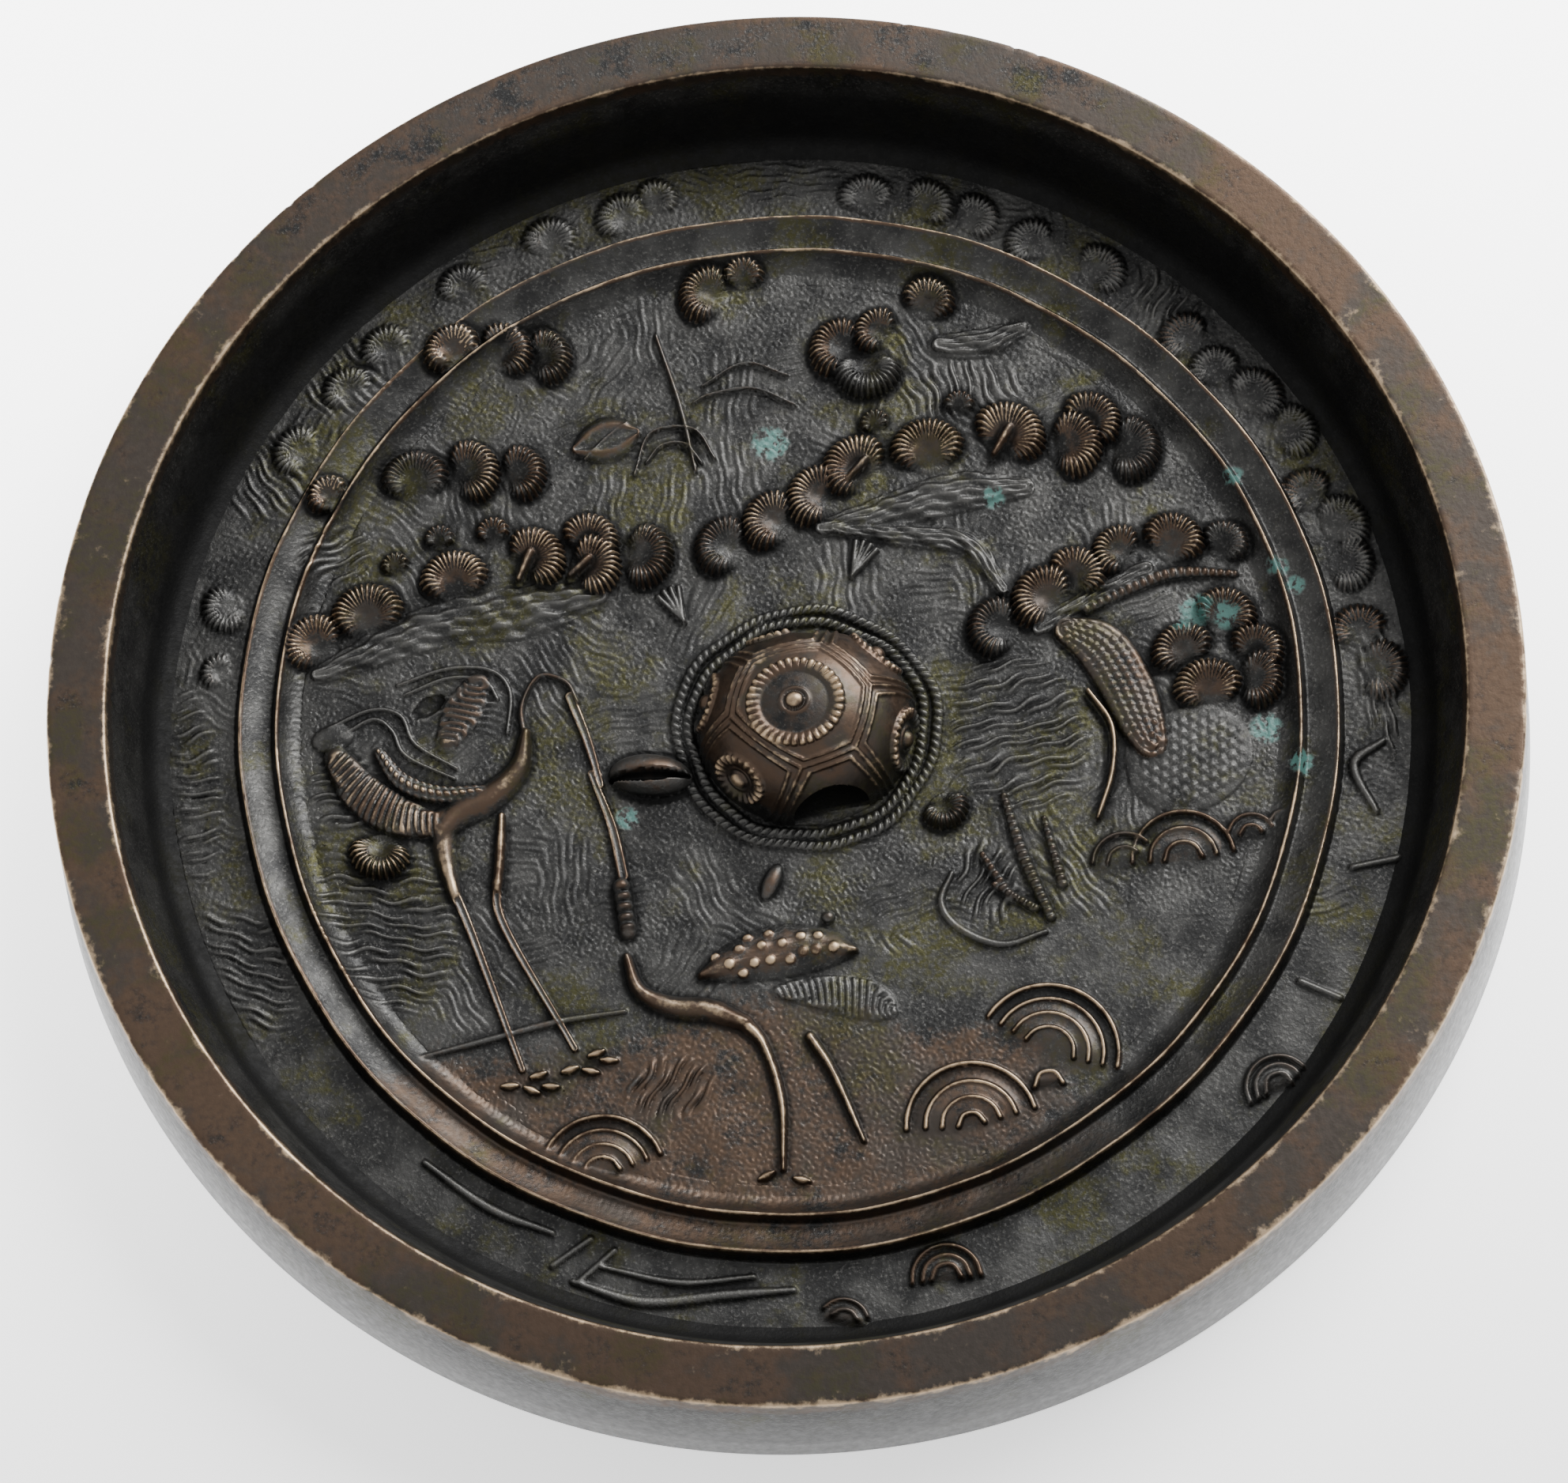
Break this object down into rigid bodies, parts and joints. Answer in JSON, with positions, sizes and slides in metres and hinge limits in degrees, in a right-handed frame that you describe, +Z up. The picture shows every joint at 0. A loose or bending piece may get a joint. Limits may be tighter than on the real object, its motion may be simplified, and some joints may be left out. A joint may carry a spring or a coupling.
{
  "type": "bronze mirror",
  "caption": "Old cast bronze hand mirror lying on its polished face, its back with a tall flat rim, a pine and crane landscape in relief and a pierced tortoise knob for a cord.",
  "frame": {"origin": "middle of the polished face, which is the underside", "axes": "+Z up through the disc, out of the ornamented back; +Y from the foot of the picture to its top"},
  "size_m": [0.204, 0.204, 0.02],
  "materials": {
    "bronze": "dark brown and black patina, worn to brown bronze on the rim and the high relief"
  },
  "bodies": {
    "root": {"mirror": "bronze"}
  },
  "joints": []
}
